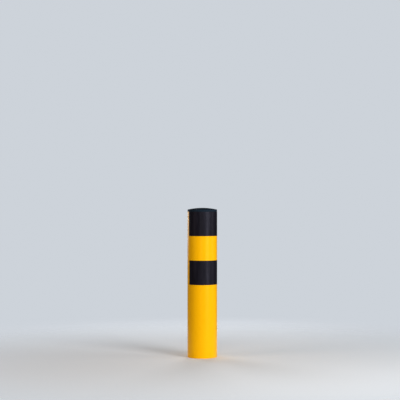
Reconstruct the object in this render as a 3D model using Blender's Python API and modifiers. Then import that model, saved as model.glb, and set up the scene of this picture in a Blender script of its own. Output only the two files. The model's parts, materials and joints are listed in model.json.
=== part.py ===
"""A steel guard bollard: a coated tube, a push-in domed cap and two bands of wrapped foil.

The tube stands upright on its foot, which is centred on the origin at Z = 0. The front faces -Y.
"""

import math

import bmesh
import bpy
from mathutils import Matrix

# Tube
TUBE_DIAMETER = 0.2445
TUBE_WALL = 0.005
TUBE_HEIGHT = 1.200
TUBE_END_CHAMFER = 0.0006

# Foil bands: each stops short of meeting itself, which leaves a bare upright strip of tube.
BAND_HEIGHT = 0.200
BAND_SPACING = 0.200
FOIL_THICKNESS = 0.0004
SEAM_WIDTH = 0.068
UPPER_SEAM_DIRECTION = math.radians(190.0)
LOWER_SEAM_DIRECTION = math.radians(193.4)

# Cap, the part above the tube
CAP_INSET = 0.0005
CAP_RIM_HEIGHT = 0.0165
CAP_CROWN_RISE = 0.014
CAP_EDGE_RADIUS = 0.004
CAP_RIM_ROUND = 0.0008
CAP_WALL = 0.0035
CAP_INNER_RADIUS = 0.003

# Plug, the part of the cap inside the tube
PLUG_DEPTH = 0.040
PLUG_WALL = 0.003
PLUG_LEAD_IN = 0.0015
FIN_REACH = 0.0025
FIN_TIP = 0.0006
FIN_ROOT = 0.002
FIN_PITCH = 0.0095
FIN_START = 0.007

# Gussets, the webs between the plug and the dome
GUSSET_COUNT = 8
GUSSET_REACH = 0.025
GUSSET_DROP = 0.026
GUSSET_THICKNESS = 0.003
GUSSET_TOE = 0.002

# The gap left between two pieces that touch
FIT_GAP = 0.0003

# Facets
TURN_STEPS = 96
CROWN_SEGMENTS = 7
EDGE_SEGMENTS = 4
ROUND_SEGMENTS = 2
MERGE_DISTANCE = 0.00001
SHARP_ANGLE = math.radians(32)

FULL_TURN = 2 * math.pi
TUBE_RADIUS = TUBE_DIAMETER / 2
BORE_RADIUS = TUBE_RADIUS - TUBE_WALL

CAP_RADIUS = TUBE_RADIUS - CAP_INSET
PLUG_RADIUS = BORE_RADIUS - FIT_GAP - FIN_REACH
PLUG_INNER_RADIUS = PLUG_RADIUS - PLUG_WALL

# The dome is part of a sphere. Its centre lies below the tube's top face, which is the cap's Z = 0.
CROWN_RADIUS = (CAP_RADIUS**2 + CAP_CROWN_RISE**2) / (2 * CAP_CROWN_RISE)
CROWN_CENTRE = FIT_GAP + CAP_RIM_HEIGHT + CAP_CROWN_RISE - CROWN_RADIUS


def clear_scene():
    """Remove every object, so that the model starts from an empty scene."""
    for thing in list(bpy.data.objects):
        bpy.data.objects.remove(thing, do_unlink=True)


def new_collection(name):
    """A new collection in the scene."""
    collection = bpy.data.collections.new(name)
    bpy.context.scene.collection.children.link(collection)
    return collection


def finish(name, colour, roughness, metallic):
    """A material of one colour."""
    material = bpy.data.materials.new(name)
    material.use_nodes = True
    shader = material.node_tree.nodes["Principled BSDF"]
    shader.inputs["Base Color"].default_value = (*colour, 1.0)
    shader.inputs["Roughness"].default_value = roughness
    shader.inputs["Metallic"].default_value = metallic
    return material


def arc(centre, radius, start, end, segments):
    """Points of an arc as (radius, height) pairs. Its angles lean from straight up towards +X."""
    points = []
    for index in range(segments + 1):
        lean = start + (end - start) * index / segments
        points.append((centre[0] + radius * math.sin(lean), centre[1] + radius * math.cos(lean)))
    return points


def dome(sphere_radius, wall_radius, corner_radius):
    """A dome from the axis outwards, rounded over into an upright wall of the given radius."""
    corner_x = wall_radius - corner_radius
    lean = math.asin(corner_x / (sphere_radius - corner_radius))
    corner_z = CROWN_CENTRE + (sphere_radius - corner_radius) * math.cos(lean)
    crown = arc((0.0, CROWN_CENTRE), sphere_radius, 0.0, lean, CROWN_SEGMENTS)
    corner = arc((corner_x, corner_z), corner_radius, lean, math.pi / 2, EDGE_SEGMENTS)
    return crown + corner[1:]


def sphere_height(sphere_radius, radius):
    """The height of the sphere around the dome's centre at a distance from the axis."""
    return CROWN_CENTRE + math.sqrt(sphere_radius**2 - radius**2)


def profile_object(name, points, closed, collection):
    """An object with a line through (radius, height) points in the XZ plane."""
    edges = [(index, index + 1) for index in range(len(points) - 1)]
    if closed:
        edges.append((len(points) - 1, 0))
    mesh = bpy.data.meshes.new(name)
    mesh.from_pydata([(radius, 0.0, height) for radius, height in points], edges, [])
    part = bpy.data.objects.new(name, mesh)
    collection.objects.link(part)
    return part


def turn(part, sweep, steps):
    """Turn a part's profile around Z. A full turn is merged where it meets itself."""
    screw = part.modifiers.new("turn", "SCREW")
    screw.axis = "Z"
    screw.angle = sweep
    screw.screw_offset = 0.0
    screw.steps = steps
    screw.render_steps = steps
    screw.use_merge_vertices = sweep == FULL_TURN
    screw.merge_threshold = MERGE_DISTANCE


def evaluated_mesh(part):
    """A part's mesh with its modifiers applied."""
    depsgraph = bpy.context.evaluated_depsgraph_get()
    return bpy.data.meshes.new_from_object(part.evaluated_get(depsgraph))


def settle(part, material):
    """Apply a part's modifiers, shade it smooth between its corners and give it its material."""
    mesh = evaluated_mesh(part)
    part.modifiers.clear()
    part.data = mesh
    mesh.shade_smooth()
    mesh.set_sharp_from_angle(angle=SHARP_ANGLE)
    mesh.materials.clear()
    mesh.materials.append(material)


def make_tube(collection, material):
    """The welded steel tube, sawn square and deburred at both ends."""
    chamfer = TUBE_END_CHAMFER
    points = [
        (BORE_RADIUS + chamfer, TUBE_HEIGHT),
        (TUBE_RADIUS - chamfer, TUBE_HEIGHT),
        (TUBE_RADIUS, TUBE_HEIGHT - chamfer),
        (TUBE_RADIUS, chamfer),
        (TUBE_RADIUS - chamfer, 0.0),
        (BORE_RADIUS + chamfer, 0.0),
        (BORE_RADIUS, chamfer),
        (BORE_RADIUS, TUBE_HEIGHT - chamfer),
    ]
    tube = profile_object("tube", points, True, collection)
    turn(tube, FULL_TURN, TURN_STEPS)
    settle(tube, material)
    return tube


def make_band(name, top, seam_direction, collection, material):
    """A strip of foil around the tube, with its two upright ends on either side of the seam."""
    inner_radius = TUBE_RADIUS + FIT_GAP
    seam_angle = SEAM_WIDTH / TUBE_RADIUS
    sweep = FULL_TURN - seam_angle
    steps = round(TURN_STEPS * sweep / FULL_TURN)
    band = profile_object(name, [(inner_radius, 0.0), (inner_radius, -BAND_HEIGHT)], False, collection)
    band.location.z = top
    band.rotation_euler.z = seam_direction + seam_angle / 2
    turn(band, sweep, steps)
    foil = band.modifiers.new("foil", "SOLIDIFY")
    foil.thickness = FOIL_THICKNESS
    foil.offset = 1.0
    settle(band, material)
    return band


def fin_points():
    """The outer side of the plug from its top down: springy barbs that grip the tube's bore."""
    tip_radius = PLUG_RADIUS + FIN_REACH
    room = PLUG_DEPTH - FIN_START - PLUG_LEAD_IN - FIN_ROOT
    points = []
    for index in range(int(room / FIN_PITCH) + 1):
        height = -FIN_START - index * FIN_PITCH
        points += [
            (PLUG_RADIUS, height),
            (tip_radius, height),
            (tip_radius, height - FIN_TIP),
            (PLUG_RADIUS, height - FIN_ROOT),
        ]
    return points


def cap_points():
    """The cap's section: over the dome, down the rim and the plug, and back up inside."""
    under_radius = CROWN_RADIUS - CAP_WALL
    rim_round = arc(
        (CAP_RADIUS - CAP_RIM_ROUND, FIT_GAP + CAP_RIM_ROUND),
        CAP_RIM_ROUND,
        math.pi / 2,
        math.pi,
        ROUND_SEGMENTS,
    )
    foot = [
        (PLUG_RADIUS, -PLUG_DEPTH + PLUG_LEAD_IN),
        (PLUG_RADIUS - PLUG_LEAD_IN, -PLUG_DEPTH),
        (PLUG_INNER_RADIUS, -PLUG_DEPTH),
    ]
    outside = dome(CROWN_RADIUS, CAP_RADIUS, CAP_EDGE_RADIUS)
    inside = dome(under_radius, PLUG_INNER_RADIUS, CAP_INNER_RADIUS)
    return outside + rim_round + [(PLUG_RADIUS, FIT_GAP)] + fin_points() + foot + inside[::-1]


def gusset_outline():
    """One gusset in the XZ plane. Its back and top reach into the middle of the plug and the dome."""
    under_radius = CROWN_RADIUS - CAP_WALL
    middle_radius = CROWN_RADIUS - CAP_WALL / 2
    back = PLUG_INNER_RADIUS + PLUG_WALL / 2
    front = PLUG_INNER_RADIUS - GUSSET_REACH
    bottom = sphere_height(under_radius, PLUG_INNER_RADIUS) - GUSSET_DROP
    return [
        (back, sphere_height(middle_radius, back)),
        (front, sphere_height(middle_radius, front)),
        (front, sphere_height(under_radius, front) - GUSSET_TOE),
        (PLUG_INNER_RADIUS - GUSSET_TOE, bottom),
        (back, bottom),
    ]


def make_gussets(collection):
    """All the gussets as one guide object, which the cap is joined with."""
    outline = gusset_outline()
    curve = bpy.data.curves.new("gusset", "CURVE")
    curve.dimensions = "2D"
    curve.fill_mode = "BOTH"
    curve.extrude = GUSSET_THICKNESS / 2
    spline = curve.splines.new("POLY")
    spline.points.add(len(outline) - 1)
    for point, (radius, height) in zip(spline.points, outline):
        point.co = (radius, height, 0.0, 1.0)
    spline.use_cyclic_u = True
    flat = bpy.data.objects.new("gusset", curve)
    collection.objects.link(flat)
    mesh = evaluated_mesh(flat)
    bpy.data.objects.remove(flat, do_unlink=True)

    shape = bmesh.new()
    shape.from_mesh(mesh)
    bmesh.ops.remove_doubles(shape, verts=shape.verts, dist=MERGE_DISTANCE)
    upright = Matrix.Rotation(math.pi / 2, 3, "X")
    bmesh.ops.rotate(shape, cent=(0.0, 0.0, 0.0), matrix=upright, verts=shape.verts)
    pitch = FULL_TURN / GUSSET_COUNT
    bmesh.ops.spin(
        shape,
        geom=shape.verts[:] + shape.edges[:] + shape.faces[:],
        cent=(0.0, 0.0, 0.0),
        axis=(0.0, 0.0, 1.0),
        angle=FULL_TURN - pitch,
        steps=GUSSET_COUNT - 1,
        use_duplicate=True,
    )
    bmesh.ops.recalc_face_normals(shape, faces=shape.faces)
    shape.to_mesh(mesh)
    shape.free()
    guide = bpy.data.objects.new("gussets", mesh)
    guide.hide_render = True
    guide.display_type = "WIRE"
    guide.location.z = TUBE_HEIGHT
    collection.objects.link(guide)
    return guide


def make_cap(collection, guides, material):
    """The moulded cap: a shallow dome, a rim that rests on the tube and a finned plug."""
    cap = profile_object("top_cap", cap_points(), False, collection)
    cap.location.z = TUBE_HEIGHT
    turn(cap, FULL_TURN, TURN_STEPS)
    webs = cap.modifiers.new("gussets", "BOOLEAN")
    webs.operation = "UNION"
    webs.solver = "EXACT"
    webs.object = make_gussets(guides)
    settle(cap, material)
    return cap


def make_bollard():
    """All the pieces, held together by an empty at the centre of the foot."""
    clear_scene()
    collection = new_collection("steel_bollard")
    guides = new_collection("guides")
    yellow_coating = finish("yellow_coating", (0.90, 0.50, 0.008), 0.35, 0.0)
    black_foil = finish("black_foil", (0.014, 0.013, 0.018), 0.38, 0.0)
    black_plastic = finish("black_plastic", (0.012, 0.017, 0.024), 0.5, 0.0)

    lower_top = TUBE_HEIGHT - BAND_HEIGHT - BAND_SPACING
    pieces = [
        make_tube(collection, yellow_coating),
        make_band("upper_band", TUBE_HEIGHT, UPPER_SEAM_DIRECTION, collection, black_foil),
        make_band("lower_band", lower_top, LOWER_SEAM_DIRECTION, collection, black_foil),
        make_cap(collection, guides, black_plastic),
    ]
    foot = bpy.data.objects.new("foot_centre", None)
    collection.objects.link(foot)
    for piece in pieces:
        piece.parent = foot


make_bollard()
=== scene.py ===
import json
import math

import bmesh
import bpy
from mathutils import Matrix, Vector, noise


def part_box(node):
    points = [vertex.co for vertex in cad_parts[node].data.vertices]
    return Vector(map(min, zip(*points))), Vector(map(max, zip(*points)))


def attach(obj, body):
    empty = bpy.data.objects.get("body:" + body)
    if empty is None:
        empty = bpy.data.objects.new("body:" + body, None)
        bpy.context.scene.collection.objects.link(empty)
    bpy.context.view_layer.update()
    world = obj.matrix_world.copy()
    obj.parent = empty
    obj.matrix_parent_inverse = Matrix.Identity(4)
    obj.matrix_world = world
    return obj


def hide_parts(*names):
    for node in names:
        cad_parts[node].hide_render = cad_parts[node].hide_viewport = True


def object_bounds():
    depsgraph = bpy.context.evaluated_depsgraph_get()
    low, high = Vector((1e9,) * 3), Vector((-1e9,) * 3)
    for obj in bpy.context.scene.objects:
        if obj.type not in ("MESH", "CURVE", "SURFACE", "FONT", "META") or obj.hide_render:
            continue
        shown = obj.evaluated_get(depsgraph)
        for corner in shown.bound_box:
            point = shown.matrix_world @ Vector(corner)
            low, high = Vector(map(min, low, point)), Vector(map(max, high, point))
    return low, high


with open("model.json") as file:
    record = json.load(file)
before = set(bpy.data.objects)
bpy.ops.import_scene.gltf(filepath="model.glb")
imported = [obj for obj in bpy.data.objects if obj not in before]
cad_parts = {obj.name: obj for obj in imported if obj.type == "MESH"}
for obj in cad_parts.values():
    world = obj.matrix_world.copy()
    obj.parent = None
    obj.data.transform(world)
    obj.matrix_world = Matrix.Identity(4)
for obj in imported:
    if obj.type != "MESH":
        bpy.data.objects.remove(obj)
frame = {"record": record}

cad_low, cad_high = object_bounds()


# The tube: a welded round steel tube, sawn square and deburred at both ends, then powder coated
# signal yellow. It stands on its sawn foot and carries the bands and the cap. The coating wraps
# round the ends and fades a hand's breadth up the bore, where the rolled steel and its weld show.
tube_low, tube_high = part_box("tube")
TUBE_RADIUS = (tube_high.x - tube_low.x) / 2
TUBE_TOP = tube_high.z
FOOT_MIDDLE = frame["record"]["mounts"][0]["pos_m"][0]
TUBE_WALL = 2 * (TUBE_RADIUS - FOOT_MIDDLE)
BORE_RADIUS = TUBE_RADIUS - TUBE_WALL
EDGE_ROUND = 0.0006
EDGE_SEGMENTS = 3
TUBE_FACETS = 360
TUBE_ROWS = 60
WELD_ANGLE = math.radians(62)
WELD_WIDTH = 0.007
WELD_HEIGHT = 0.0009
WELD_RIPPLE = 0.15
WELD_RIPPLE_RATE = 900.0
WELD_STEPS = 8
WELD_FINE_REACH = 0.75
WELD_CLEAR_REACH = 0.8
OVERSPRAY_REACH = 0.09
OVERSPRAY_DRIFT = 0.05
YELLOW = (0.900, 0.428, 0.0010)
YELLOW_CLOUD = (0.945, 0.465, 0.0016)
YELLOW_SPECK = (0.965, 0.485, 0.0022)
YELLOW_SHEEN = (1.0, 0.86, 0.20)
YELLOW_OVERSPRAY = (0.80, 0.40, 0.0045)
STEEL_DARK = (0.120, 0.118, 0.120)
STEEL_LIGHT = (0.250, 0.245, 0.240)
STEEL_SCALE = (0.095, 0.088, 0.085)
FULL_TURN = 2 * math.pi
ON_AXIS = 1e-7


def arc(centre, radius, start, end, segments):
    """Points of an arc as (radius, height) pairs, at angles that lean from straight up outwards."""
    points = []
    for index in range(segments + 1):
        lean = start + (end - start) * index / segments
        points.append((centre[0] + radius * math.sin(lean), centre[1] + radius * math.cos(lean)))
    return points


def round_angles(count):
    """Evenly spaced angles of a full turn."""
    return [FULL_TURN * index / count for index in range(count)]


def turned_piece(name, profile, angles, whole_turn=True, closed_profile=False, radius_at=None):
    """A mesh object turned from a profile that runs down its outer side, with poles on the axis."""
    shape = bmesh.new()
    rings = []
    for radius, height in profile:
        if radius < ON_AXIS:
            rings.append([shape.verts.new((0.0, 0.0, height))])
            continue
        ring = []
        for angle in angles:
            reach = radius_at(angle, radius, height) if radius_at else radius
            ring.append(shape.verts.new((reach * math.cos(angle), reach * math.sin(angle), height)))
        rings.append(ring)
    pairs = list(zip(rings, rings[1:]))
    if closed_profile:
        pairs.append((rings[-1], rings[0]))
    spans = len(angles) if whole_turn else len(angles) - 1
    for upper, lower in pairs:
        for index in range(spans):
            after = (index + 1) % len(angles)
            if len(upper) == 1:
                shape.faces.new((upper[0], lower[index], lower[after]))
            elif len(lower) == 1:
                shape.faces.new((upper[index], lower[0], upper[after]))
            else:
                shape.faces.new((upper[index], lower[index], lower[after], upper[after]))
    if not whole_turn:
        shape.faces.new([ring[0] for ring in reversed(rings)])
        shape.faces.new([ring[-1] for ring in rings])
    mesh = bpy.data.meshes.new(name)
    shape.to_mesh(mesh)
    shape.free()
    piece = bpy.data.objects.new(name, mesh)
    bpy.context.scene.collection.objects.link(piece)
    return piece


def shade(piece, *finishes, sharp=30):
    """Smooth shading that keeps corners sharper than so many degrees, and the piece's finishes."""
    piece.data.shade_smooth()
    piece.data.set_sharp_from_angle(angle=math.radians(sharp))
    for one in finishes:
        piece.data.materials.append(one)


def new_finish(name):
    """A material with a Principled shader, and its tree and shader to work on."""
    finish = bpy.data.materials.new(name)
    finish.use_nodes = True
    tree = finish.node_tree
    return finish, tree, tree.nodes["Principled BSDF"]


def mottle(tree, scale, stretch=(1.0, 1.0, 1.0), detail=3.0):
    """Noise with so many cells a metre, squeezed by stretch along each axis."""
    place = tree.nodes.new("ShaderNodeTexCoord")
    squeeze = tree.nodes.new("ShaderNodeMapping")
    squeeze.inputs["Scale"].default_value = stretch
    pattern = tree.nodes.new("ShaderNodeTexNoise")
    pattern.inputs["Scale"].default_value = scale
    pattern.inputs["Detail"].default_value = detail
    tree.links.new(place.outputs["Object"], squeeze.inputs["Vector"])
    tree.links.new(squeeze.outputs["Vector"], pattern.inputs["Vector"])
    return pattern.outputs["Fac"]


def ranged(tree, value, low, high, start=0.3, end=0.7):
    """The value, spread from start..end to low..high and held there."""
    spread = tree.nodes.new("ShaderNodeMapRange")
    spread.inputs["From Min"].default_value = start
    spread.inputs["From Max"].default_value = end
    spread.inputs["To Min"].default_value = low
    spread.inputs["To Max"].default_value = high
    tree.links.new(value, spread.inputs["Value"])
    return spread.outputs["Result"]


def tinted(tree, factor, first, second):
    """A colour between two, each a colour or another node's output."""
    # The colour sockets of a Mix node are its inputs 6 and 7 and its output 2.
    blend = tree.nodes.new("ShaderNodeMix")
    blend.data_type = "RGBA"
    tree.links.new(factor, blend.inputs["Factor"])
    for socket, colour in ((blend.inputs[6], first), (blend.inputs[7], second)):
        if isinstance(colour, tuple):
            socket.default_value = (*colour, 1.0)
        else:
            tree.links.new(colour, socket)
    return blend.outputs[2]


def raised(tree, height, depth, below=None):
    """Relief of the given depth in metres, on top of another relief."""
    relief = tree.nodes.new("ShaderNodeBump")
    relief.inputs["Strength"].default_value = 1.0
    relief.inputs["Distance"].default_value = depth
    tree.links.new(height, relief.inputs["Height"])
    if below:
        tree.links.new(below, relief.inputs["Normal"])
    return relief.outputs["Normal"]


def yellow_powder_coat():
    """Semi-gloss yellow powder coat: cloudy by a few per cent, with a fine orange peel. The tube's
    dressed weld shows through it as a faint upright line."""
    finish, tree, shader = new_finish("yellow_powder_coat")
    cloud = ranged(tree, mottle(tree, 4.0, (1.0, 1.0, 0.6)), 0.0, 1.0)
    speck = ranged(tree, mottle(tree, 700.0, detail=2.0), 0.0, 0.5)
    clouded = tinted(tree, cloud, YELLOW, YELLOW_CLOUD)
    coat = tinted(tree, speck, clouded, YELLOW_SPECK)
    tree.links.new(coat, shader.inputs["Base Color"])
    tree.links.new(ranged(tree, mottle(tree, 30.0), 0.28, 0.36), shader.inputs["Roughness"])
    shader.inputs["Specular IOR Level"].default_value = 0.20
    shader.inputs["Specular Tint"].default_value = (*YELLOW_SHEEN, 1.0)
    waves = raised(tree, mottle(tree, 16.0, (1.0, 1.0, 0.3), detail=1.0), depth=0.0004)
    place = tree.nodes.new("ShaderNodeTexCoord")
    flat = tree.nodes.new("ShaderNodeMapping")
    flat.inputs["Scale"].default_value = (1.0, 1.0, 0.0)
    tree.links.new(place.outputs["Object"], flat.inputs["Vector"])
    away = tree.nodes.new("ShaderNodeVectorMath")
    away.operation = "DISTANCE"
    weld_x = TUBE_RADIUS * math.cos(WELD_ANGLE)
    weld_y = TUBE_RADIUS * math.sin(WELD_ANGLE)
    away.inputs[1].default_value = (weld_x, weld_y, 0.0)
    tree.links.new(flat.outputs["Vector"], away.inputs[0])
    line_core = WELD_WIDTH * 0.15
    line_edge = WELD_WIDTH * 0.6
    dressed = ranged(tree, away.outputs["Value"], 1.0, 0.0, start=line_core, end=line_edge)
    welded = raised(tree, dressed, depth=0.00015, below=waves)
    peel = raised(tree, mottle(tree, 260.0, detail=1.0), depth=0.00005, below=welded)
    tree.links.new(peel, shader.inputs["Normal"])
    return finish


def rolled_steel():
    """The bore: dull blue-grey rolled steel, streaked along the tube, with yellow overspray."""
    finish, tree, shader = new_finish("rolled_steel")
    streak = ranged(tree, mottle(tree, 90.0, (1.0, 1.0, 0.04), detail=4.0), 0.0, 1.0)
    scale_mark = ranged(tree, mottle(tree, 14.0), 0.0, 1.0, start=0.4, end=0.65)
    steel = tinted(tree, streak, STEEL_DARK, STEEL_LIGHT)
    marked = tinted(tree, scale_mark, steel, STEEL_SCALE)
    place = tree.nodes.new("ShaderNodeTexCoord")
    split = tree.nodes.new("ShaderNodeSeparateXYZ")
    tree.links.new(place.outputs["Object"], split.inputs["Vector"])
    drift = tree.nodes.new("ShaderNodeMath")
    drift.operation = "MULTIPLY_ADD"
    tree.links.new(mottle(tree, 55.0, (1.0, 1.0, 0.5)), drift.inputs[0])
    drift.inputs[1].default_value = -OVERSPRAY_DRIFT
    tree.links.new(split.outputs["Z"], drift.inputs[2])
    bare = ranged(tree, drift.outputs["Value"], 0.0, 1.0, start=0.0, end=OVERSPRAY_REACH)
    tree.links.new(tinted(tree, bare, YELLOW_OVERSPRAY, marked), shader.inputs["Base Color"])
    tree.links.new(ranged(tree, bare, 0.0, 0.75, start=0.0, end=1.0), shader.inputs["Metallic"])
    tree.links.new(ranged(tree, streak, 0.48, 0.66, start=0.0, end=1.0), shader.inputs["Roughness"])
    tree.links.new(raised(tree, streak, depth=0.00008), shader.inputs["Normal"])
    return finish


def bore_weld(angle, radius, height):
    """The bore's radius, which dips where the bead of the tube's long weld stands proud."""
    if radius > BORE_RADIUS + EDGE_ROUND / 2:
        return radius
    away = abs((angle - WELD_ANGLE + math.pi) % FULL_TURN - math.pi) * radius
    if away > WELD_WIDTH / 2:
        return radius
    wave = 1 - WELD_RIPPLE + WELD_RIPPLE * math.sin(height * WELD_RIPPLE_RATE)
    return radius - WELD_HEIGHT * wave * math.cos(math.pi * away / WELD_WIDTH) ** 2


def tube_angles():
    """Even steps round the tube, and finer ones across the weld. Reaches count the weld's widths."""
    spread = WELD_WIDTH / BORE_RADIUS
    count = round(2 * WELD_FINE_REACH * WELD_STEPS) + 1
    fine = [WELD_ANGLE + spread * (index / WELD_STEPS - WELD_FINE_REACH) for index in range(count)]
    clear = spread * WELD_CLEAR_REACH
    even = [angle for angle in round_angles(TUBE_FACETS) if abs(angle - WELD_ANGLE) > clear]
    return sorted(even + fine)


outer_x = TUBE_RADIUS - EDGE_ROUND
inner_x = BORE_RADIUS + EDGE_ROUND
top_z = TUBE_TOP - EDGE_ROUND
top_outer = arc((outer_x, top_z), EDGE_ROUND, 0.0, math.pi / 2, EDGE_SEGMENTS)
foot_outer = arc((outer_x, EDGE_ROUND), EDGE_ROUND, math.pi / 2, math.pi, EDGE_SEGMENTS)
foot_inner = arc((inner_x, EDGE_ROUND), EDGE_ROUND, math.pi, 1.5 * math.pi, EDGE_SEGMENTS)
top_inner = arc((inner_x, top_z), EDGE_ROUND, 1.5 * math.pi, FULL_TURN, EDGE_SEGMENTS)
straight = TUBE_TOP - 2 * EDGE_ROUND
heights = [EDGE_ROUND + straight * row / TUBE_ROWS for row in range(1, TUBE_ROWS)]
tube_profile = (
    top_outer
    + [(TUBE_RADIUS, height) for height in reversed(heights)]
    + foot_outer
    + foot_inner
    + [(BORE_RADIUS, height) for height in heights]
    + top_inner
)
tube = turned_piece("coated_tube", tube_profile, tube_angles(), closed_profile=True, radius_at=bore_weld)
shade(tube, yellow_powder_coat(), rolled_steel(), sharp=50)
for face in tube.data.polygons:
    middle = face.center
    if math.hypot(middle.x, middle.y) < BORE_RADIUS + EDGE_ROUND / 2:
        face.material_index = 1
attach(tube, "root")
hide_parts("tube")


# The two warning bands: black self-adhesive vinyl foil, wrapped round the coated tube by hand. Each
# is cut short of meeting itself, so a bare upright strip of yellow stays at its seam. Its edges are
# rubbed down, it ripples faintly between them, and the upper band laps over the tube's sawn end.
FOIL_THICKNESS = 0.00022
FOIL_LIFT = 0.00003
FOIL_RIPPLE = 0.0002
FOIL_STUCK_EDGE = 0.006
FOIL_LAP = 0.004
FOIL_BEND_SEGMENTS = 6
FOIL_COLUMNS = 420
FOIL_ROWS = 44
WAVES_AROUND = 55.0
WAVES_UPWARDS = 6.0
WAVE_SHARE = 0.7
FOLDS_AROUND = 140.0
FOLDS_UPWARDS = 11.0
FOLD_SHARE = 0.3
MEAN_RIPPLE = 0.5
FOIL_BLACK = (0.0052, 0.0046, 0.0080)
FOIL_STREAK = (0.0092, 0.0084, 0.0136)
FOIL_SHEEN = (0.76, 0.77, 1.0)
SEAM_WIDTH = 0.068
SEAM_DIRECTIONS = {"upper_band": math.radians(190.0), "lower_band": math.radians(193.4)}


def black_vinyl():
    """Satin black vinyl with faint upright streaks and a few shallow creases, from being pulled
    tight and rubbed down."""
    finish, tree, shader = new_finish("black_vinyl")
    streak = mottle(tree, 45.0, (1.0, 1.0, 0.12), detail=2.0)
    tone = ranged(tree, streak, 0.0, 1.0, start=0.36, end=0.64)
    vinyl = tinted(tree, tone, FOIL_BLACK, FOIL_STREAK)
    tree.links.new(vinyl, shader.inputs["Base Color"])
    tree.links.new(ranged(tree, mottle(tree, 9.0), 0.34, 0.42), shader.inputs["Roughness"])
    shader.inputs["Specular IOR Level"].default_value = 0.115
    shader.inputs["Specular Tint"].default_value = (*FOIL_SHEEN, 1.0)
    level = tree.nodes.new("ShaderNodeMath")
    level.operation = "SUBTRACT"
    tree.links.new(mottle(tree, 28.0, (1.0, 1.0, 0.16), detail=1.0), level.inputs[0])
    level.inputs[1].default_value = 0.5
    fold = tree.nodes.new("ShaderNodeMath")
    fold.operation = "ABSOLUTE"
    tree.links.new(level.outputs["Value"], fold.inputs[0])
    crease = ranged(tree, fold.outputs["Value"], 1.0, 0.0, start=0.0, end=0.035)
    peel = raised(tree, mottle(tree, 260.0, detail=1.0), depth=0.00004)
    creased = raised(tree, crease, depth=0.0001, below=peel)
    tree.links.new(raised(tree, streak, depth=0.0015, below=creased), shader.inputs["Normal"])
    return finish


def make_band(node, finish):
    """One band of foil in place of its plain solid."""
    low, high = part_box(node)
    seam_angle = SEAM_WIDTH / TUBE_RADIUS
    start = SEAM_DIRECTIONS[node] + seam_angle / 2
    sweep = FULL_TURN - seam_angle
    inner = TUBE_RADIUS + FOIL_LIFT
    outer = inner + FOIL_THICKNESS
    corner = (TUBE_RADIUS - EDGE_ROUND, TUBE_TOP - EDGE_ROUND)
    ends_at_top = high.z > corner[1]
    top = corner[1] if ends_at_top else high.z

    def lapped(reach):
        """The end of the foil, from the sawn end over the tube's rounded edge."""
        bend = arc(corner, reach - corner[0], 0.0, math.pi / 2, FOIL_BEND_SEGMENTS)
        return [(TUBE_RADIUS - FOIL_LAP, bend[0][1])] + bend

    steps = [top - (top - low.z) * row / FOIL_ROWS for row in range(FOIL_ROWS + 1)]
    outside = [(outer, height) for height in steps]
    inside = [(inner, height) for height in steps]
    if ends_at_top:
        outside = lapped(outer) + outside[1:]
        inside = lapped(inner) + inside[1:]
    profile = outside + inside[::-1]
    angles = [start + sweep * column / FOIL_COLUMNS for column in range(FOIL_COLUMNS + 1)]
    # Each band takes its own slice of the noise, so that the two don't ripple alike.
    wave_slice = low.z * 7.0
    fold_slice = 5.0 + low.z * 3.0

    def rippled(angle, radius, height):
        """The foil's outer radius, with ripples that die out towards its stuck edges."""
        if radius < outer:
            return radius
        around = TUBE_RADIUS * (angle - start)
        edge = min(around, sweep * TUBE_RADIUS - around, height - low.z, high.z - height)
        loose = min(1.0, max(0.0, edge / FOIL_STUCK_EDGE))
        wave = noise.noise(Vector((around * WAVES_AROUND, height * WAVES_UPWARDS, wave_slice)))
        fold = noise.noise(Vector((around * FOLDS_AROUND, height * FOLDS_UPWARDS, fold_slice)))
        ripple = MEAN_RIPPLE + WAVE_SHARE * wave + FOLD_SHARE * fold
        return radius + FOIL_RIPPLE * loose * ripple

    band = turned_piece(
        f"{node}_foil", profile, angles, whole_turn=False, closed_profile=True, radius_at=rippled
    )
    shade(band, finish)
    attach(band, "root")
    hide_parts(node)


vinyl = black_vinyl()
for band_node in ("upper_band", "lower_band"):
    make_band(band_node, vinyl)


# The top cap: injection moulded black polyethylene, pushed into the tube by hand. Its shallow dome
# and upright rim rest on the sawn end. Below the rim a plug with springy barbed fins grips the bore,
# and eight gussets stiffen the dome. The gate left its small round mark at the crown.
cap_low, cap_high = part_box("top_cap")
CAP_RADIUS = (cap_high.x - cap_low.x) / 2
CAP_CLEARANCE = 0.0003
CAP_SEAT = TUBE_TOP + CAP_CLEARANCE
CAP_RIM_HEIGHT = 0.0165
CAP_RISE = cap_high.z - CAP_SEAT - CAP_RIM_HEIGHT
CAP_EDGE_RADIUS = 0.004
CAP_RIM_ROUND = 0.0008
CAP_WALL = 0.0035
CAP_INNER_RADIUS = 0.003
CAP_FACETS = 288
CROWN_SEGMENTS = 28
CORNER_SEGMENTS = 10
INNER_CROWN_SEGMENTS = 20
INNER_CORNER_SEGMENTS = 6
RIM_SEGMENTS = 4
GATE_RADIUS = 0.0035
GATE_DEPTH = 0.0003
GATE_STUB = 0.0009
FIN_REACH = 0.0025
FIN_TIP = 0.0006
FIN_ROOT = 0.002
FIN_PITCH = 0.0095
FIN_START = 0.007
FIN_COUNT = 4
PLUG_RADIUS = BORE_RADIUS - CAP_CLEARANCE - FIN_REACH
PLUG_WALL = 0.003
PLUG_INNER_RADIUS = PLUG_RADIUS - PLUG_WALL
PLUG_LEAD_IN = 0.0015
GUSSET_COUNT = 8
GUSSET_REACH = 0.025
GUSSET_DROP = 0.026
GUSSET_THICKNESS = 0.003
GUSSET_TOE = 0.002
CROWN_RADIUS = (CAP_RADIUS**2 + CAP_RISE**2) / (2 * CAP_RISE)
CROWN_CENTRE = cap_high.z - CROWN_RADIUS
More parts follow.
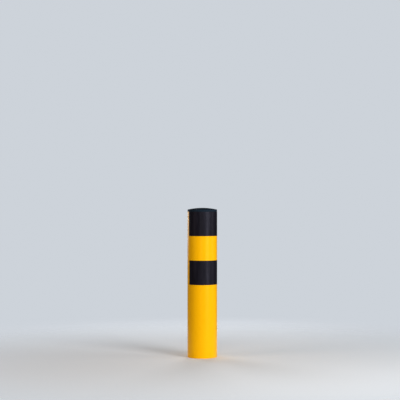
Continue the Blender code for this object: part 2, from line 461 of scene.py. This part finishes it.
# The cap's colours are black plastic mixed with a painted blue reflection of a blue surrounding.
CAP_BLACK_AND_BLUE_REFLECTION = (0.0070, 0.0142, 0.0245)
CAP_CLOUD_AND_BLUE_REFLECTION = (0.0095, 0.0182, 0.0305)
CAP_SHEEN = (0.66, 0.82, 1.0)


def black_polyethylene():
    """Black moulded plastic with the fine, even grain of an eroded mould. Its colour is tinted blue as a
    painted reflection of a blue surrounding.
    """
    finish, tree, shader = new_finish("black_polyethylene")
    cloud = ranged(tree, mottle(tree, 18.0), 0.0, 1.0)
    # The blue in these colours is painted reflection, not the plastic's own colour.
    plastic_and_blue_reflection = tinted(tree, cloud, CAP_BLACK_AND_BLUE_REFLECTION, CAP_CLOUD_AND_BLUE_REFLECTION)
    tree.links.new(plastic_and_blue_reflection, shader.inputs["Base Color"])
    tree.links.new(ranged(tree, mottle(tree, 45.0), 0.58, 0.70), shader.inputs["Roughness"])
    shader.inputs["Specular IOR Level"].default_value = 0.06
    shader.inputs["Specular Tint"].default_value = (*CAP_SHEEN, 1.0)
    grain = raised(tree, mottle(tree, 1500.0, detail=2.0), depth=0.00004)
    sink = raised(tree, mottle(tree, 22.0, detail=0.0), depth=0.0003, below=grain)
    tree.links.new(sink, shader.inputs["Normal"])
    return finish


def dome(sphere_radius, wall_radius, corner_radius, crown_segments, corner_segments):
    """A dome from the axis outwards, rounded over into an upright wall."""
    corner_x = wall_radius - corner_radius
    lean = math.asin(corner_x / (sphere_radius - corner_radius))
    corner_z = CROWN_CENTRE + (sphere_radius - corner_radius) * math.cos(lean)
    crown = arc((0.0, CROWN_CENTRE), sphere_radius, 0.0, lean, crown_segments)
    corner = arc((corner_x, corner_z), corner_radius, lean, math.pi / 2, corner_segments)
    return crown + corner[1:]


def under_height(radius, depth):
    """The height of the sphere that lies so deep below the crown, at a distance from the axis."""
    return CROWN_CENTRE + math.sqrt((CROWN_RADIUS - depth) ** 2 - radius**2)


def cap_profile():
    """Over the dome, down the rim and the finned plug, and back up inside."""
    rim_corner = (CAP_RADIUS - CAP_RIM_ROUND, CAP_SEAT + CAP_RIM_ROUND)
    rim_round = arc(rim_corner, CAP_RIM_ROUND, math.pi / 2, math.pi, RIM_SEGMENTS)
    fins = []
    for index in range(FIN_COUNT):
        height = TUBE_TOP - FIN_START - index * FIN_PITCH
        fins += [
            (PLUG_RADIUS, height),
            (PLUG_RADIUS + FIN_REACH, height),
            (PLUG_RADIUS + FIN_REACH, height - FIN_TIP),
            (PLUG_RADIUS, height - FIN_ROOT),
        ]
    foot = [
        (PLUG_RADIUS, cap_low.z + PLUG_LEAD_IN),
        (PLUG_RADIUS - PLUG_LEAD_IN, cap_low.z),
        (PLUG_INNER_RADIUS, cap_low.z),
    ]
    apex = cap_high.z
    gate = [
        (0.0, apex - GATE_DEPTH / 3),
        (GATE_STUB, apex - GATE_DEPTH / 3),
        (GATE_STUB, apex - GATE_DEPTH),
        (GATE_RADIUS - GATE_DEPTH, apex - GATE_DEPTH),
        (GATE_RADIUS, under_height(GATE_RADIUS, 0.0)),
    ]
    shell = dome(CROWN_RADIUS, CAP_RADIUS, CAP_EDGE_RADIUS, CROWN_SEGMENTS, CORNER_SEGMENTS)
    outside = gate + [point for point in shell if point[0] > GATE_RADIUS]
    inside = dome(
        CROWN_RADIUS - CAP_WALL,
        PLUG_INNER_RADIUS,
        CAP_INNER_RADIUS,
        INNER_CROWN_SEGMENTS,
        INNER_CORNER_SEGMENTS,
    )
    return outside + rim_round + [(PLUG_RADIUS, CAP_SEAT)] + fins + foot + inside[::-1]


def make_gussets():
    """The gussets, each a flat web that reaches into the plug's wall and the dome."""
    back = PLUG_INNER_RADIUS + PLUG_WALL / 2
    front = PLUG_INNER_RADIUS - GUSSET_REACH
    bottom = under_height(PLUG_INNER_RADIUS, CAP_WALL) - GUSSET_DROP
    outline = [
        (back, under_height(back, CAP_WALL / 2)),
        (front, under_height(front, CAP_WALL / 2)),
        (front, under_height(front, CAP_WALL) - GUSSET_TOE),
        (PLUG_INNER_RADIUS - GUSSET_TOE, bottom),
        (back, bottom),
    ]
    shape = bmesh.new()
    for index in range(GUSSET_COUNT):
        turn = Matrix.Rotation(FULL_TURN * index / GUSSET_COUNT, 4, "Z")
        sides = []
        for side in (-GUSSET_THICKNESS / 2, GUSSET_THICKNESS / 2):
            sides.append([shape.verts.new(turn @ Vector((x, side, z))) for x, z in outline])
        near, far = sides
        shape.faces.new(near)
        shape.faces.new(reversed(far))
        for first in range(len(outline)):
            second = (first + 1) % len(outline)
            shape.faces.new((near[second], near[first], far[first], far[second]))
    bmesh.ops.recalc_face_normals(shape, faces=shape.faces)
    mesh = bpy.data.meshes.new("gussets")
    shape.to_mesh(mesh)
    shape.free()
    webs = bpy.data.objects.new("gussets", mesh)
    bpy.context.scene.collection.objects.link(webs)
    return webs


cap = turned_piece("domed_cap", cap_profile(), round_angles(CAP_FACETS))
webs = make_gussets()
joined = cap.modifiers.new("gussets", "BOOLEAN")
joined.operation = "UNION"
joined.solver = "EXACT"
joined.object = webs
depsgraph = bpy.context.evaluated_depsgraph_get()
moulded = bpy.data.meshes.new_from_object(cap.evaluated_get(depsgraph))
cap.modifiers.clear()
cap.data = moulded
bpy.data.objects.remove(webs, do_unlink=True)
cap.data.materials.clear()
shade(cap, black_polyethylene(), sharp=28)
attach(cap, "root")
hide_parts("top_cap")


# The floor: a plain pale studio floor that thins out into the backdrop long before its rim. It is
# open under the bore, so that light also reaches the inside of the tube.
FLOOR_RADIUS = 60.0
FLOOR_FADE_START = 0.6
FLOOR_FADE_END = 3.4
FLOOR_FACETS = 128
FLOOR_DROP = 0.0002
PALE_FLOOR = (0.74, 0.76, 0.79)
BACKDROP = (0.61, 0.65, 0.70)
SKY_LIGHT = (0.9, 0.95, 1.0)
SKY_STRENGTH = 0.05


def pale_floor():
    """Matt pale paint that turns clear with distance."""
    finish = bpy.data.materials.new("pale_floor")
    finish.use_nodes = True
    tree = finish.node_tree
    tree.nodes.clear()
    matt = tree.nodes.new("ShaderNodeBsdfDiffuse")
    matt.inputs["Color"].default_value = (*PALE_FLOOR, 1.0)
    clear = tree.nodes.new("ShaderNodeBsdfTransparent")
    place = tree.nodes.new("ShaderNodeTexCoord")
    length = tree.nodes.new("ShaderNodeVectorMath")
    length.operation = "LENGTH"
    tree.links.new(place.outputs["Object"], length.inputs[0])
    fade = tree.nodes.new("ShaderNodeMapRange")
    fade.interpolation_type = "SMOOTHSTEP"
    fade.inputs["From Min"].default_value = FLOOR_FADE_START
    fade.inputs["From Max"].default_value = FLOOR_FADE_END
    tree.links.new(length.outputs["Value"], fade.inputs["Value"])
    blend = tree.nodes.new("ShaderNodeMixShader")
    tree.links.new(fade.outputs["Result"], blend.inputs["Fac"])
    tree.links.new(matt.outputs["BSDF"], blend.inputs[1])
    tree.links.new(clear.outputs["BSDF"], blend.inputs[2])
    out = tree.nodes.new("ShaderNodeOutputMaterial")
    tree.links.new(blend.outputs["Shader"], out.inputs["Surface"])
    return finish


floor_profile = [(FOOT_MIDDLE, -FLOOR_DROP), (FLOOR_RADIUS, -FLOOR_DROP)]
floor = turned_piece("floor", floor_profile, round_angles(FLOOR_FACETS))
floor.data.materials.append(pale_floor())

world = bpy.data.worlds.new("backdrop")
bpy.context.scene.world = world
world.use_nodes = True
sky = world.node_tree
sky.nodes.clear()
seen = sky.nodes.new("ShaderNodeBackground")
seen.inputs["Color"].default_value = (*BACKDROP, 1.0)
lit = sky.nodes.new("ShaderNodeBackground")
lit.inputs["Color"].default_value = (*SKY_LIGHT, 1.0)
lit.inputs["Strength"].default_value = SKY_STRENGTH
rays = sky.nodes.new("ShaderNodeLightPath")
choice = sky.nodes.new("ShaderNodeMixShader")
sky_out = sky.nodes.new("ShaderNodeOutputWorld")
sky.links.new(rays.outputs["Is Camera Ray"], choice.inputs["Fac"])
sky.links.new(lit.outputs["Background"], choice.inputs[1])
sky.links.new(seen.outputs["Background"], choice.inputs[2])
sky.links.new(choice.outputs["Shader"], sky_out.inputs["Surface"])


# The lights: one large soft key from the right and in front, as the photo's shading and its soft
# upright highlight show, and weaker soft fills so that the other sides can be read. The fill from
# behind gives no highlights, which would line the tube's edges.
LIGHT_DISTANCE = 4.4
KEY_SIZE = (1.9, 3.4)
FILL_SIZE = (1.9, 3.0)


def soft_light(name, azimuth, height, size, power, colour):
    """An area light aimed at the middle of the bollard. Azimuth 0 is in front and 90 to the right."""
    turn = math.radians(azimuth)
    lamp = bpy.data.lights.new(name, "AREA")
    lamp.shape = "RECTANGLE"
    lamp.size, lamp.size_y = size
    lamp.energy = power
    lamp.color = colour
    light = bpy.data.objects.new(name, lamp)
    light.visible_camera = False
    bpy.context.scene.collection.objects.link(light)
    light.location = (LIGHT_DISTANCE * math.sin(turn), -LIGHT_DISTANCE * math.cos(turn), height)
    aim = Vector((0.0, 0.0, (cad_low.z + cad_high.z) / 2)) - light.location
    light.rotation_euler = aim.to_track_quat("-Z", "Y").to_euler()
    return light


soft_light("key", 40.0, 1.75, KEY_SIZE, 183.0, (1.0, 0.99, 0.97))
soft_light("front_fill", -6.0, 1.9, FILL_SIZE, 50.0, (1.0, 0.96, 0.86))
soft_light("left_fill", -62.0, 2.5, FILL_SIZE, 46.0, (1.0, 0.79, 0.64))
soft_light("right_fill", 84.0, 1.7, FILL_SIZE, 34.0, (1.0, 1.0, 0.97))
soft_light("back_left", -145.0, 2.2, FILL_SIZE, 70.0, (0.94, 0.97, 1.0))
back_fill = soft_light("back_fill", 172.0, 1.5, FILL_SIZE, 120.0, (0.97, 0.98, 1.0))
back_fill.visible_glossy = False


# The camera: level, at the height and distance that the photo's perspective gives. It stands a
# little higher than the cap and nearly ten metres away, so it has a long lens.
CAMERA_PLACE = Vector((-0.01893, -9.641, 1.2957))
CAMERA_LENS = 104.94
CAMERA_SENSOR = 36.0
camera_data = bpy.data.cameras.new("camera")
camera_data.sensor_width = CAMERA_SENSOR
camera_data.lens = CAMERA_LENS
camera = bpy.data.objects.new("camera", camera_data)
bpy.context.scene.collection.objects.link(camera)
camera.location = CAMERA_PLACE
camera.rotation_euler = (math.pi / 2, 0.0, 0.0)
bpy.context.scene.camera = camera
bpy.context.scene.view_settings.view_transform = "Standard"
